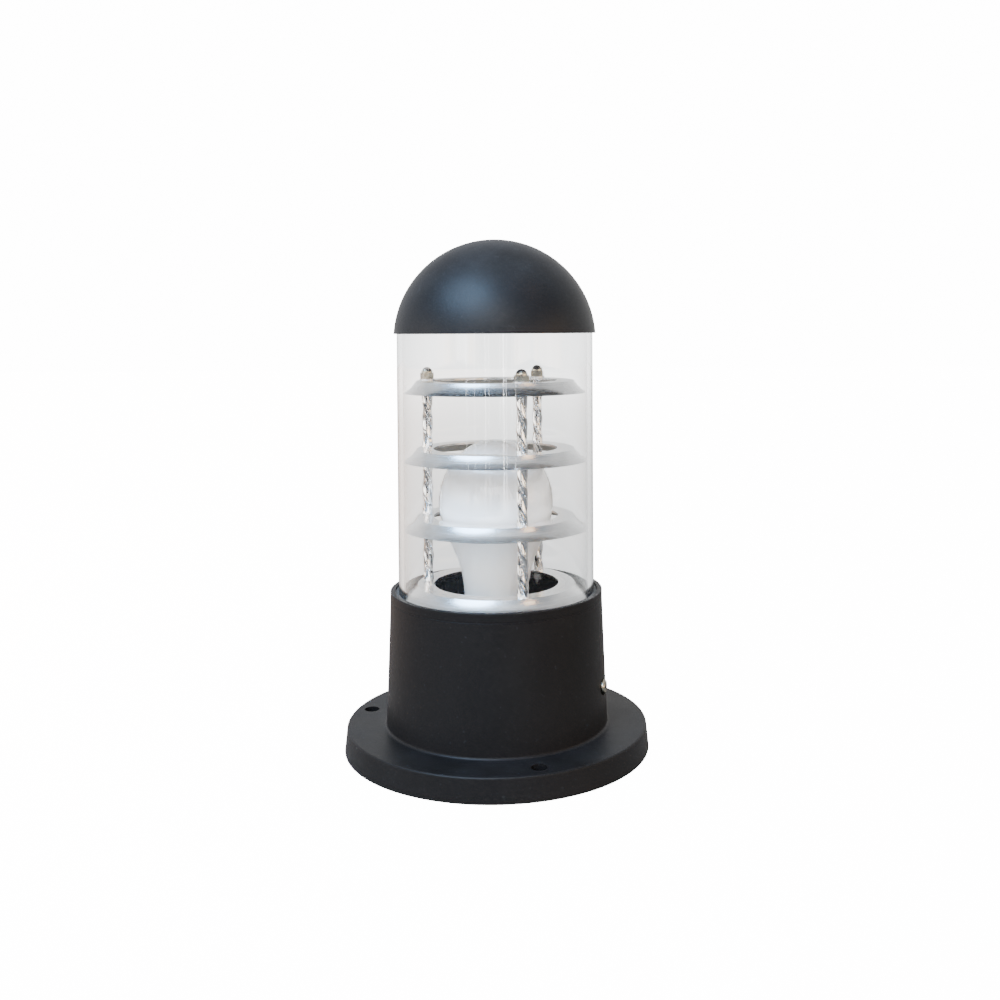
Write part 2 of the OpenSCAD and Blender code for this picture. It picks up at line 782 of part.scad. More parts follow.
// Round tube of eight sides along a path; ref is a direction that the path
// never takes
module tube_along(path, ref) {
    sides = 8;
    last = len(path) - 1;
    points = [for (i = [0:last], k = [0:sides - 1])
        path[i] + lead_d / 2 * rim_direction(path_direction(path, i), ref, k * 360 / sides)];
    walls = [for (i = [0:last - 1], k = [0:sides - 1])
        let (a = i * sides + k, b = i * sides + (k + 1) % sides)
            each [[a, a + sides, b], [b, a + sides, b + sides]]];
    ends = [[for (k = [0:sides - 1]) k], [for (k = [sides - 1:-1:0]) last * sides + k]];
    polyhedron(points, concat(walls, ends));
}

// Direction of the path at its point i
function path_direction(path, i) =
    unit(path[min(i + 1, len(path) - 1)] - path[max(i - 1, 0)]);

// Direction from the path's middle to the tube's wall, square to the path
function rim_direction(along, ref, angle) =
    let (side = unit(cross(along, ref))) cos(angle) * side + sin(angle) * cross(along, side);

function unit(v) = v / norm(v);

base_housing();
head_collar();
tube_gasket();
clear_tube();
dome_gasket();
dome_cap();
louvre_ring(3);  // louvre_ring_top
louvre_ring(2);  // louvre_ring_middle
louvre_ring(1);  // louvre_ring_lower
louvre_ring(0);  // base_ring
tie_rod(0);  // tie_rod_1
tie_rod(1);  // tie_rod_2
tie_rod(2);  // tie_rod_3
spacer(0, 2);  // spacer_1_top
spacer(0, 1);  // spacer_1_middle
spacer(0, 0);  // spacer_1_lower
spacer(1, 2);  // spacer_2_top
spacer(1, 1);  // spacer_2_middle
spacer(1, 0);  // spacer_2_lower
spacer(2, 2);  // spacer_3_top
spacer(2, 1);  // spacer_3_middle
spacer(2, 0);  // spacer_3_lower
cap_nuts();
top_washers();
rod_nuts();
bottom_washers();
led_lamp();
holder_body();
screw_shell();
foot_contact();
contact_screws();
holder_screws();
holder_bracket();
bracket_screws();
side_screws();
terminal_block();
block_screws();
earth_screw();
earth_washer();
lead_live();
lead_neutral();
lead_earth();
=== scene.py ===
"""Garden post light: black cast base and dome, clear tube, polished louvre rings on twisted
spacers round an opal globe lamp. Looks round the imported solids, in metres."""

import json
import math

import bmesh
import bpy
from mathutils import Matrix, Vector
from mathutils import noise as ripples


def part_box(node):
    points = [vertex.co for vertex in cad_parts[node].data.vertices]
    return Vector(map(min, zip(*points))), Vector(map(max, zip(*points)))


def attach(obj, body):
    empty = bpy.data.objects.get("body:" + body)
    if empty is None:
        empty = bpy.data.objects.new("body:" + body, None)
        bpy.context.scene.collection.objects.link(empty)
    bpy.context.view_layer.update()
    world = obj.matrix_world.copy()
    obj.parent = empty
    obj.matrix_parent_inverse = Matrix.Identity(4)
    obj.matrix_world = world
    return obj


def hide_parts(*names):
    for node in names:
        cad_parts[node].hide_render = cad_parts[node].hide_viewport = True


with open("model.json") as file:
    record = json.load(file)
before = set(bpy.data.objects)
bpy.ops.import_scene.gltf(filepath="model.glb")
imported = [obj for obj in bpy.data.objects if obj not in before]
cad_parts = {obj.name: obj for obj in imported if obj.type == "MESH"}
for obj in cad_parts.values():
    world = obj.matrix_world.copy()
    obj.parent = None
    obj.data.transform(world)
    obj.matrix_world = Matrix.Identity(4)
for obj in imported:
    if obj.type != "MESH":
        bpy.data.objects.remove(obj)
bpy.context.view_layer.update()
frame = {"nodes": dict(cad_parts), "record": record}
nodes = frame["nodes"]

MM = 0.001

# Camera, nearly level and about as high as the dome's rim, as the photograph was taken
CAMERA_PLACE = Vector((19.69, -619.16, 233.03)) * MM
CAMERA_TURN = (math.pi / 2 - 0.02269, 0.00603, -0.00115)
CAMERA_LENS = 39.528
CAMERA_SENSOR = 36.0
CAMERA_SHIFT = (-0.03094, -0.14494)
CAMERA_NEAR = 0.01

# Lamp, read from its solid
lamp_low, lamp_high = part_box("led_lamp")
LAMP_FOOT = lamp_low.z
LAMP_RADIUS = (lamp_high.x - lamp_low.x) / 2
LAMP_HEIGHT = lamp_high.z - lamp_low.z

# Lamp: radii, and heights over its foot contact
CAP_FOOT = [(0, 0), (4.5 * MM, 0), (5 * MM, 0.8 * MM), (9.5 * MM, 2.4 * MM)]
CAP_START = 3 * MM
CAP_LENGTH = 22.5 * MM
CAP_RADIUS = 12.85 * MM
CAP_PITCH = 3.6 * MM
CAP_WAVE = 0.35 * MM
CAP_WAVE_POINTS = 6
NECK_RADIUS = 18 * MM
NECK_HEIGHT = 27.5 * MM
NECK_CHAMFER = 1 * MM
CAP_TOP = NECK_HEIGHT - 2 * MM
GLOBE_SEAM = 66 * MM
GLOBE_WIDEST = 81.5 * MM
GLOBE_SWELL = 19.5 * MM
SEAM_HALF_WIDTH = 0.35 * MM
SEAM_DEPTH = 1.2 * MM
SEAM_GAP = 0.02 * MM

# Twisted spacers: an oval bar, flattened by so much on its narrow sides
SPACER_RADIUS = 3.1 * MM
SPACER_BORE = 2.2 * MM
SPACER_FLAT = 0.6 * MM
SPACER_LEAST_WALL = 0.1 * MM
SPACER_TURN = -2.5 * math.pi
SPACER_SIDES = 64
SPACER_STEPS = 120

# Creases of the spacers: how close they run round and along the bar, how much of its
# twist they follow, and how far the pattern moves on with the bar's own place
CREASE_DEPTH = 0.36 * MM
CREASES_AROUND = 560
CREASES_ALONG = 85
CREASE_SHARPNESS = 5.0
CREASE_TWIST = 0.6
CREASE_MOVE = (900, 500)

# Meshes: steps of a full turn and of a curve, what counts as one place, and the angle
# past which an edge stays sharp
ROUND_STEPS = 128
CURVE_STEPS = 28
SAME_PLACE = 0.01 * MM
SHARP_ANGLE = math.radians(32)

# Surroundings: their radiance, seen straight and through clear walls, the floor's size,
# how far it lies under the foot, and the place that the lights face
SEEN_STRAIGHT = 15.0
SEEN_THROUGH = 3.6
FLOOR_SIZE = 6.0
FLOOR_DROP = 0.05 * MM
LIT_PLACE = Vector((0, 0, 0.2))

# Softboxes: degrees to the right of the front and up, size, radiance and colour
SOFTBOX_DISTANCE = 1.7
SOFTBOXES = {
    "sky_window": (-38, 49, (1.45, 1.0), 27, (0.43, 0.67, 1.0)),
    "front_window": (-8, 28, (1.5, 0.8), 5.8, (1.0, 0.98, 0.96)),
    "warm_lamp": (62, 50, (0.3, 0.3), 8, (1.0, 0.62, 0.34)),
}

# Narrow panes that streak the tube: degrees to the right of the front, and radiance
PANES = [(-30, 9), (-21, 8), (-9, 15), (-5, 8), (11, 32), (14, 16), (24, 8)]
PANE_HEIGHT = 15
PANE_SIZE = (0.010, 0.72)
PANE_DISTANCE = 0.66
PANE_COLOUR = (1.0, 1.0, 1.0)


# Shader node helpers


def new_material(name):
    material = bpy.data.materials.new(name)
    material.use_nodes = True
    tree = material.node_tree
    shader = tree.nodes["Principled BSDF"]
    return material, tree, shader


def add_node(tree, kind, inputs=None, **settings):
    """A node with its settings, and its inputs given values or linked to sockets."""
    node = tree.nodes.new(kind)
    for key, value in settings.items():
        setattr(node, key, value)
    for key, value in (inputs or {}).items():
        give(tree, node.inputs[key], value)
    return node


def give(tree, socket, value):
    """Links a socket to another, or sets its own value."""
    if isinstance(value, bpy.types.NodeSocket):
        tree.links.new(value, socket)
    else:
        socket.default_value = value


def maths(tree, operation, first, second=0.0, clamp=False):
    node = add_node(tree, "ShaderNodeMath", {0: first, 1: second}, operation=operation)
    node.use_clamp = clamp
    return node.outputs[0]


def mix_colour(tree, factor, first, second):
    node = add_node(tree, "ShaderNodeMix", data_type="RGBA")
    give(tree, node.inputs[0], factor)
    give(tree, node.inputs[6], first)
    give(tree, node.inputs[7], second)
    return node.outputs[2]


def ramp(tree, value, low, high, out_low=0.0, out_high=1.0):
    """A value between low and high, spread between out_low and out_high."""
    node = add_node(
        tree,
        "ShaderNodeMapRange",
        {0: value, 1: low, 2: high, 3: out_low, 4: out_high},
    )
    return node.outputs[0]


def object_place(tree):
    return tree.nodes.new("ShaderNodeTexCoord").outputs["Object"]


def split(tree, vector):
    return add_node(tree, "ShaderNodeSeparateXYZ", {0: vector}).outputs


def join(tree, x, y, z):
    return add_node(tree, "ShaderNodeCombineXYZ", {0: x, 1: y, 2: z}).outputs[0]


def length(tree, vector):
    node = add_node(tree, "ShaderNodeVectorMath", {0: vector}, operation="LENGTH")
    return node.outputs["Value"]


def upwardness(tree):
    """How far a face looks up: 1 for a floor, -1 for an underside."""
    facing = add_node(tree, "ShaderNodeNewGeometry").outputs["Normal"]
    return split(tree, facing)[2]


def noise(tree, place, scale, detail=2.0, roughness=0.5):
    node = add_node(
        tree,
        "ShaderNodeTexNoise",
        {"Vector": place, "Scale": scale, "Detail": detail, "Roughness": roughness},
    )
    return node.outputs["Fac"]


def raise_surface(tree, shader, height, strength, distance):
    """Raises a shader's surface by a height pattern, so many metres at full strength."""
    node = add_node(
        tree,
        "ShaderNodeBump",
        {"Height": height, "Strength": strength, "Distance": distance},
    )
    give(tree, shader.inputs["Normal"], node.outputs["Normal"])


def vary_roughness(tree, shader, pattern, smooth, rough):
    """Lets a shader's roughness wander between two values with a pattern."""
    give(tree, shader.inputs["Roughness"], ramp(tree, pattern, 0.3, 0.7, smooth, rough))


def new_group(name, inputs, outputs):
    """A shader node group with named sockets, and the nodes of its two ends."""
    group = bpy.data.node_groups.new(name, "ShaderNodeTree")
    for kind, label, value in inputs:
        socket = group.interface.new_socket(label, in_out="INPUT", socket_type=kind)
        socket.default_value = value
    for kind, label in outputs:
        group.interface.new_socket(label, in_out="OUTPUT", socket_type=kind)
    source = group.nodes.new("NodeGroupInput")
    sink = group.nodes.new("NodeGroupOutput")
    return group, source.outputs, sink.inputs


def place_group(tree, group, inputs):
    return add_node(tree, "ShaderNodeGroup", inputs, node_tree=group).outputs


# Shared effects. Scales are in cells to the metre.

SPECK_SCALE = 420.0
BLOTCH_SCALE = 60.0
DUST_SCALE = 55.0
DUST_COLOUR = (0.32, 0.35, 0.38, 1.0)


def build_grain_group():
    """Grain of a coated or moulded surface: fine height, slow mottle and small specks."""
    group, given, made = new_group(
        "surface_grain",
        [
            ("NodeSocketFloat", "Grain Scale", 900.0),
            ("NodeSocketFloat", "Mottle Scale", 30.0),
        ],
        [
            ("NodeSocketFloat", "Height"),
            ("NodeSocketFloat", "Mottle"),
            ("NodeSocketFloat", "Specks"),
        ],
    )
    place = object_place(group)
    fine = noise(group, place, given["Grain Scale"], 3.0, 0.55)
    slow = noise(group, place, given["Mottle Scale"], 4.0, 0.6)
    specks = ramp(group, noise(group, place, SPECK_SCALE, 1.0), 0.70, 0.78)
    give(group, made["Height"], fine)
    give(group, made["Mottle"], slow)
    give(group, made["Specks"], specks)
    return group


def build_spun_group():
    """Lathe lines round the Z axis: fine rings over radius and height, broken by noise."""
    group, given, made = new_group(
        "spun_lines",
        [("NodeSocketFloat", "Line Scale", 2400.0)],
        [("NodeSocketFloat", "Lines"), ("NodeSocketFloat", "Blotches")],
    )
    place = object_place(group)
    axes = split(group, place)
    radius = length(group, join(group, axes[0], axes[1], 0.0))
    section = join(group, radius, axes[2], 0.0)
    lines = noise(group, section, given["Line Scale"], 2.0, 0.6)
    blotches = noise(group, place, BLOTCH_SCALE, 4.0, 0.65)
    give(group, made["Lines"], lines)
    give(group, made["Blotches"], blotches)
    return group


def build_dust_group():
    """Pale dust on faces that look up."""
    group, given, made = new_group(
        "settled_dust",
        [
            ("NodeSocketColor", "Color", (0.05, 0.05, 0.05, 1.0)),
            ("NodeSocketFloat", "Amount", 0.3),
        ],
        [("NodeSocketColor", "Color")],
    )
    level = ramp(group, upwardness(group), 0.25, 1.0)
    patches = noise(group, object_place(group), DUST_SCALE, 5.0, 0.65)
    lying = maths(group, "MULTIPLY", level, ramp(group, patches, 0.35, 0.75))
    share = maths(group, "MULTIPLY", lying, given["Amount"])
    dusted = mix_colour(group, share, given["Color"], DUST_COLOUR)
    give(group, made["Color"], dusted)
    return group


GRAIN = build_grain_group()
SPUN = build_spun_group()
DUST = build_dust_group()


# Materials

COAT_SPECK = (0.09, 0.10, 0.11, 1.0)
POLISHED_DARK = (0.84, 0.84, 0.85, 1.0)
POLISHED_LIGHT = (0.97, 0.97, 0.97, 1.0)
# Painted shade on the rings' undersides
UNDERSIDE_SHADE_DARK = (0.28, 0.26, 0.23, 1.0)
UNDERSIDE_SHADE_LIGHT = (0.46, 0.43, 0.39, 1.0)
BAR_DULL = (0.93, 0.92, 0.90, 1.0)
BAR_BRIGHT = (0.99, 0.99, 0.99, 1.0)
# Painted shade along the spacers' creases
BAR_PAINTED_CREASE_SHADE = (0.09, 0.085, 0.09, 1.0)
TUBE_TINT = (0.975, 0.985, 0.985, 1.0)
TUBE_SHADE = (0.93, 0.94, 0.94, 1.0)
TUBE_IOR = 1.49
DRAW_LINE_SCALE = 420.0
DRAW_LINE_STRETCH = 0.02
OPAL_DARK = (0.95, 0.92, 0.89, 1.0)
OPAL_LIGHT = (0.98, 0.955, 0.93, 1.0)
# Colour of the opal globe's painted glow
OPAL_PAINTED_GLOW = (1.0, 0.94, 0.88, 1.0)


def powder_coat(name, dark, light, roughness, dust, gloss):
    """Satin black powder coat with orange peel, slow mottle and a little dust."""
    material, tree, shader = new_material(name)
    grain = place_group(tree, GRAIN, {"Grain Scale": 1100.0, "Mottle Scale": 26.0})
    colour = mix_colour(tree, grain["Mottle"], dark, light)
    specks = maths(tree, "MULTIPLY", grain["Specks"], 0.06)
    speckled = mix_colour(tree, specks, colour, COAT_SPECK)
    dusted = place_group(tree, DUST, {"Color": speckled, "Amount": dust})
    give(tree, shader.inputs["Base Color"], dusted["Color"])
    vary_roughness(tree, shader, grain["Mottle"], roughness - 0.04, roughness + 0.05)
    raise_surface(tree, shader, grain["Height"], 0.45, 0.12 * MM)
    shader.inputs["Specular IOR Level"].default_value = gloss
    return material


def moulded(name, colour, roughness, variation=0.05):
    """Plain moulded plastic or rubber with a fine grain and slight unevenness."""
    material, tree, shader = new_material(name)
    grain = place_group(tree, GRAIN, {"Grain Scale": 1500.0, "Mottle Scale": 45.0})
    darker = tuple(c * (1 - variation) for c in colour) + (1.0,)
    lighter = tuple(min(1.0, c * (1 + variation)) for c in colour) + (1.0,)
    mottled = mix_colour(tree, grain["Mottle"], darker, lighter)
    give(tree, shader.inputs["Base Color"], mottled)
    vary_roughness(tree, shader, grain["Mottle"], roughness - 0.04, roughness + 0.05)
    raise_surface(tree, shader, grain["Height"], 0.2, 0.06 * MM)
    return material


def spun_aluminium(name):
    """Polished sheet with lathe lines and faint blotches; its underside is rougher and
    carries painted shade, a darker brownish colour.
    """
    material, tree, shader = new_material(name)
    spun = place_group(tree, SPUN, {"Line Scale": 2600.0})
    polished = mix_colour(tree, spun["Blotches"], POLISHED_DARK, POLISHED_LIGHT)
    # Painted shade: faces that look down take a dark brownish colour.
    shaded_underside = mix_colour(tree, spun["Blotches"], UNDERSIDE_SHADE_DARK, UNDERSIDE_SHADE_LIGHT)
    underside = ramp(tree, upwardness(tree), -0.05, -0.35)
    give(tree, shader.inputs["Base Color"], mix_colour(tree, underside, polished, shaded_underside))
    rough_lines = ramp(tree, spun["Lines"], 0.3, 0.7, 0.16, 0.30)
    rough_underside = maths(tree, "MULTIPLY", underside, 0.3)
    rough = maths(tree, "ADD", rough_lines, rough_underside, clamp=True)
    give(tree, shader.inputs["Roughness"], rough)
    raise_surface(tree, shader, spun["Lines"], 0.22, 0.08 * MM)
    shader.inputs["Metallic"].default_value = 1.0
    return material


def plated(name, bright, dull, roughness):
    """Plated metal with faint stains."""
    material, tree, shader = new_material(name)
    grain = place_group(tree, GRAIN, {"Grain Scale": 1800.0, "Mottle Scale": 160.0})
    stains = ramp(tree, grain["Mottle"], 0.35, 0.7, 0.0, 0.5)
    stained = mix_colour(tree, stains, bright + (1.0,), dull + (1.0,))
    give(tree, shader.inputs["Base Color"], stained)
    vary_roughness(tree, shader, grain["Mottle"], roughness - 0.05, roughness + 0.1)
    raise_surface(tree, shader, grain["Height"], 0.2, 0.03 * MM)
    shader.inputs["Metallic"].default_value = 1.0
    return material


def bar_with_painted_crease_shade(name):
    """Bright metal with painted shade: its colour goes dark where the creases of the piece
    run.
    """
    material, tree, shader = new_material(name)
    grain = place_group(tree, GRAIN, {"Grain Scale": 1800.0, "Mottle Scale": 160.0})
    bright = mix_colour(tree, grain["Mottle"], BAR_DULL, BAR_BRIGHT)
    crease = add_node(tree, "ShaderNodeAttribute", attribute_name="crease")
    # Painted shade: the base colour darkens along the creases.
    dark = ramp(tree, crease.outputs["Fac"], 0.3, 0.95)
    crease_shaded = mix_colour(tree, dark, bright, BAR_PAINTED_CREASE_SHADE)
    give(tree, shader.inputs["Base Color"], crease_shaded)
    vary_roughness(tree, shader, grain["Mottle"], 0.04, 0.12)
    shader.inputs["Metallic"].default_value = 1.0
    return material


def clear_plastic(name):
    """Clear tube: lamps shine through it, and faint draw lines run up its wall."""
    material, tree, shader = new_material(name)
    shader.inputs["Transmission Weight"].default_value = 1.0
    shader.inputs["IOR"].default_value = TUBE_IOR
    shader.inputs["Base Color"].default_value = TUBE_TINT
    shader.inputs["Roughness"].default_value = 0.0
    axes = split(tree, object_place(tree))
    height = maths(tree, "MULTIPLY", axes[2], DRAW_LINE_STRETCH)
    drawn = join(tree, axes[0], axes[1], height)
    lines = noise(tree, drawn, DRAW_LINE_SCALE, 3.0, 0.7)
    raise_surface(tree, shader, lines, 0.5, 0.03 * MM)
    clear = add_node(tree, "ShaderNodeBsdfTransparent", {"Color": TUBE_SHADE})
    shadow = add_node(tree, "ShaderNodeLightPath").outputs["Is Shadow Ray"]
    both = add_node(
        tree,
        "ShaderNodeMixShader",
        {0: shadow, 1: shader.outputs[0], 2: clear.outputs[0]},
    )
    output = tree.nodes["Material Output"]
    tree.links.new(both.outputs[0], output.inputs["Surface"])
    return material


def opal_globe(name):
    """Glossy opal globe with a faint painted glow, which stands in for light that its thin
    wall lets through.
    """
    material, tree, shader = new_material(name)
    grain = place_group(tree, GRAIN, {"Grain Scale": 300.0, "Mottle Scale": 22.0})
    milky = mix_colour(tree, grain["Mottle"], OPAL_DARK, OPAL_LIGHT)
    give(tree, shader.inputs["Base Color"], milky)
    vary_roughness(tree, shader, grain["Mottle"], 0.08, 0.14)
    shader.inputs["Coat Weight"].default_value = 1.0
    shader.inputs["Coat Roughness"].default_value = 0.02
    # Painted glow: a steady emission, though the lamp is off.
    shader.inputs["Emission Color"].default_value = OPAL_PAINTED_GLOW
    shader.inputs["Emission Strength"].default_value = 0.3
    return material


# Finishes of the part, by the slots that its record names

# Body and dome wear the same black paint. The body's warmer tint and the dome's bluer tint
# are painted light, standing for the warm and the blue light that they reflect.
BODY_PAINTED_WARM_DARK = (0.0042, 0.0037, 0.0038, 1.0)
BODY_PAINTED_WARM_LIGHT = (0.0076, 0.0067, 0.0068, 1.0)
DOME_PAINTED_BLUE_DARK = (0.0044, 0.0045, 0.0053, 1.0)
DOME_PAINTED_BLUE_LIGHT = (0.0078, 0.0081, 0.0098, 1.0)

finishes = {
    "cast_body": powder_coat(
        "satin_black_cast", BODY_PAINTED_WARM_DARK, BODY_PAINTED_WARM_LIGHT, roughness=0.42, dust=0.01, gloss=0.13
    ),
    "cast_dome": powder_coat(
        "satin_black_dome", DOME_PAINTED_BLUE_DARK, DOME_PAINTED_BLUE_LIGHT, roughness=0.42, dust=0.03, gloss=0.16
    ),
    "gasket": moulded("black_gasket", (0.02, 0.02, 0.02), 0.6),
    "clear_tube": clear_plastic("clear_tube_wall"),
    "louvre": spun_aluminium("spun_louvre_aluminium"),
    "plated_steel": plated(
        "zinc_plated_steel", (0.72, 0.72, 0.73), (0.42, 0.42, 0.43), 0.28
    ),
    "nickel": plated("warm_nickel", (0.40, 0.375, 0.30), (0.17, 0.155, 0.12), 0.14),
    "brass": plated("rolled_brass", (0.83, 0.62, 0.27), (0.42, 0.28, 0.12), 0.22),
    "twisted_spacer": bar_with_painted_crease_shade("bright_twisted_bar"),
    "lamp": moulded("white_lamp_body", (0.97, 0.92, 0.86), 0.32, variation=0.02),
    "holder": moulded("cream_holder", (0.74, 0.71, 0.63), 0.45),
    "terminal_block": moulded("ivory_terminal_block", (0.68, 0.66, 0.58), 0.4),
    "lead_brown": moulded("brown_insulation", (0.12, 0.045, 0.02), 0.4),
    "lead_blue": moulded("blue_insulation", (0.02, 0.09, 0.32), 0.4),
    "lead_green_yellow": moulded("green_insulation", (0.10, 0.30, 0.04), 0.4),
}
GLOBE_FINISH = opal_globe("opal_globe_glass")
CAP_FINISH = plated("nickel_lamp_cap", (0.78, 0.77, 0.74), (0.5, 0.48, 0.44), 0.2)

slot_of = {s["node"]: s["material_slot"] for s in frame["record"]["subparts"]}
for name, solid in nodes.items():
    solid.data.materials.clear()
    solid.data.materials.append(finishes[slot_of[name]])


# Modelling helpers


def finished_piece(shape, name, material, replaced=()):
    """A bmesh as a smooth piece that rides on the light, with its place in its mesh."""
    bmesh.ops.remove_doubles(shape, verts=shape.verts, dist=SAME_PLACE)
    bmesh.ops.recalc_face_normals(shape, faces=shape.faces)
    mesh = bpy.data.meshes.new(name)
    shape.to_mesh(mesh)
    shape.free()
    piece = bpy.data.objects.new(name, mesh)
    bpy.context.scene.collection.objects.link(piece)
    mesh.materials.append(material)
    smooth_faces(piece)
    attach(piece, "root")
    if replaced:
        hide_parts(*replaced)


def smooth_faces(piece):
    """Shades a piece smooth and keeps its sharp edges."""
    piece.data.shade_smooth()
    shape = bmesh.new()
    shape.from_mesh(piece.data)
    for edge in shape.edges:
        if len(edge.link_faces) == 2 and edge.calc_face_angle() > SHARP_ANGLE:
            edge.smooth = False
    shape.to_mesh(piece.data)
    shape.free()


def curve_points(controls):
    """Points of a cubic curve with four controls, ends included."""
    points = []
    for step in range(CURVE_STEPS + 1):
        t = step / CURVE_STEPS
        shares = ((1 - t) ** 3, 3 * t * (1 - t) ** 2, 3 * t * t * (1 - t), t**3)
        points.append(
            tuple(sum(w * c[axis] for w, c in zip(shares, controls)) for axis in (0, 1))
        )
    return points


def revolve(shape, outline):
    """Spins an outline of (radius, height) points round the Z axis."""
    corners = [shape.verts.new((r, 0, z)) for r, z in outline]
    edges = [shape.edges.new(pair) for pair in zip(corners, corners[1:])]
    bmesh.ops.spin(
        shape,
        geom=corners + edges,
        axis=(0, 0, 1),
        cent=(0, 0, 0),
        angle=2 * math.pi,
        steps=ROUND_STEPS,
        use_merge=True,
    )
    bmesh.ops.remove_doubles(shape, verts=shape.verts, dist=SAME_PLACE)


def add_circle(shape, radius, level):
    """A ring of corners at a level, and its edges."""
    corners = bmesh.ops.create_circle(
        shape,
        segments=SPACER_SIDES,
        radius=radius,
        cap_ends=False,
        matrix=Matrix.Translation((0, 0, level)),
    )["verts"]
    ring = set(corners)
    edges = [edge for edge in shape.edges if ring.issuperset(edge.verts)]
    return corners, edges


# Lamp


def lamp_side():
    """The lamp's side from its neck up to the globe's widest place."""
    rise = NECK_HEIGHT + (GLOBE_WIDEST - NECK_HEIGHT) / 2
    return curve_points(
        [
            (NECK_RADIUS, NECK_HEIGHT),
            (NECK_RADIUS, rise),
            (LAMP_RADIUS, GLOBE_WIDEST - GLOBE_SWELL),
            (LAMP_RADIUS, GLOBE_WIDEST),
        ]
    )


def over_ground(outline):
    """Heights over the lamp's foot contact as heights over the ground."""
    return [(r, LAMP_FOOT + z) for r, z in outline]


def build_lamp_body():
    """The white body between the screw cap and the seam under the globe."""
    shoulder = (NECK_RADIUS - NECK_CHAMFER, NECK_HEIGHT - NECK_CHAMFER)
    side = [p for p in lamp_side() if p[1] < GLOBE_SEAM - SEAM_HALF_WIDTH]
    top = [(side[-1][0] - SEAM_DEPTH, GLOBE_SEAM), (0, GLOBE_SEAM)]
    body = bmesh.new()
    revolve(body, over_ground([(CAP_RADIUS, CAP_TOP), shoulder] + side + top))
    finished_piece(body, "lamp_white_body", finishes["lamp"], ["led_lamp"])


def build_globe():
    """The opal globe, closed by a disc over the seam."""
    side = [p for p in lamp_side() if p[1] > GLOBE_SEAM + SEAM_HALF_WIDTH]
    level = GLOBE_SEAM + SEAM_GAP
    bottom = [(0, level), (side[0][0] - SEAM_DEPTH, level)]
    crown = []
    for step in range(1, CURVE_STEPS):
        angle = math.pi / 2 * step / CURVE_STEPS
        rise = (LAMP_HEIGHT - GLOBE_WIDEST) * math.sin(angle)
        crown.append((LAMP_RADIUS * math.cos(angle), GLOBE_WIDEST + rise))
    globe = bmesh.new()
    revolve(globe, over_ground(bottom + side + crown + [(0, LAMP_HEIGHT)]))
    finished_piece(globe, "lamp_opal_globe", GLOBE_FINISH)


def build_screw_cap():
    """The foot contact and the threaded shell."""
    thread = []
    for point in range(int(CAP_LENGTH / CAP_PITCH * CAP_WAVE_POINTS) + 1):
        wave = CAP_WAVE * math.cos(2 * math.pi * point / CAP_WAVE_POINTS)
        rise = CAP_PITCH * point / CAP_WAVE_POINTS
        thread.append((CAP_RADIUS + wave, CAP_START + rise))
    top = [(CAP_RADIUS, CAP_TOP), (0, CAP_TOP)]
    cap = bmesh.new()
    revolve(cap, over_ground(CAP_FOOT + thread + top))
    finished_piece(cap, "lamp_screw_cap", CAP_FINISH)


# Cage


def build_spacer(name):
    """A bright bar of oval section, twisted, creased and bored for its rod."""
    low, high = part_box(name)
    centre = (low + high) / 2
    height = high.z - low.z
    shape = bmesh.new()
    twist_oval_bar(shape, height)
    press_creases(shape, centre, height)
    for level in (0, height):
        rim = boundary_at(shape, level)
        bore = add_circle(shape, SPACER_BORE, level)[1]
        bmesh.ops.bridge_loops(shape, edges=rim + bore)
    bmesh.ops.translate(shape, verts=shape.verts, vec=(centre.x, centre.y, low.z))
    bar = name + "_bar"
    finished_piece(shape, bar, finishes["twisted_spacer"], [name])


def twist_oval_bar(shape, height):
    """The bar's side, open at both ends."""
    corners, edges = add_circle(shape, SPACER_RADIUS, 0)
    for corner in corners:
        angle = math.atan2(corner.co.y, corner.co.x)
        corner.co *= 1 - SPACER_FLAT * math.sin(angle) ** 2 / SPACER_RADIUS
    bmesh.ops.spin(
        shape,
        geom=corners + edges,
        axis=(0, 0, 1),
        cent=(0, 0, 0),
        dvec=(0, 0, height / SPACER_STEPS),
        angle=SPACER_TURN,
        steps=SPACER_STEPS,
    )


def press_creases(shape, centre, height):
    """Presses long wavy creases into a bar and notes where they run, for the painted shade
    along them.
    """
    crease_of = shape.verts.layers.float.new("crease")
    moved = centre.x * CREASE_MOVE[0] + centre.y * CREASE_MOVE[1]
    least = SPACER_BORE + SPACER_LEAST_WALL
    for corner in shape.verts:
        place = corner.co
        twist = SPACER_TURN * place.z / height
        turned = Matrix.Rotation(-CREASE_TWIST * twist, 3, "Z") @ place
        around = (turned.x * CREASES_AROUND, turned.y * CREASES_AROUND)
        seat = Vector((*around, place.z * CREASES_ALONG + moved))
        crease = max(0.0, 1 - CREASE_SHARPNESS * abs(ripples.noise(seat)))
        corner[crease_of] = crease
        radius = math.hypot(place.x, place.y)
        kept = max(least, radius - CREASE_DEPTH * crease) / radius
        place.x *= kept
        place.y *= kept


def boundary_at(shape, level):
    """The open edges that lie at a level."""
    return [
        edge
        for edge in shape.edges
        if edge.is_boundary
        and all(abs(corner.co.z - level) < SAME_PLACE for corner in edge.verts)
    ]


build_lamp_body()
build_globe()
build_screw_cap()
for name in sorted(nodes):
    if name.startswith("spacer_"):
        build_spacer(name)


# Floor, room, lights and camera

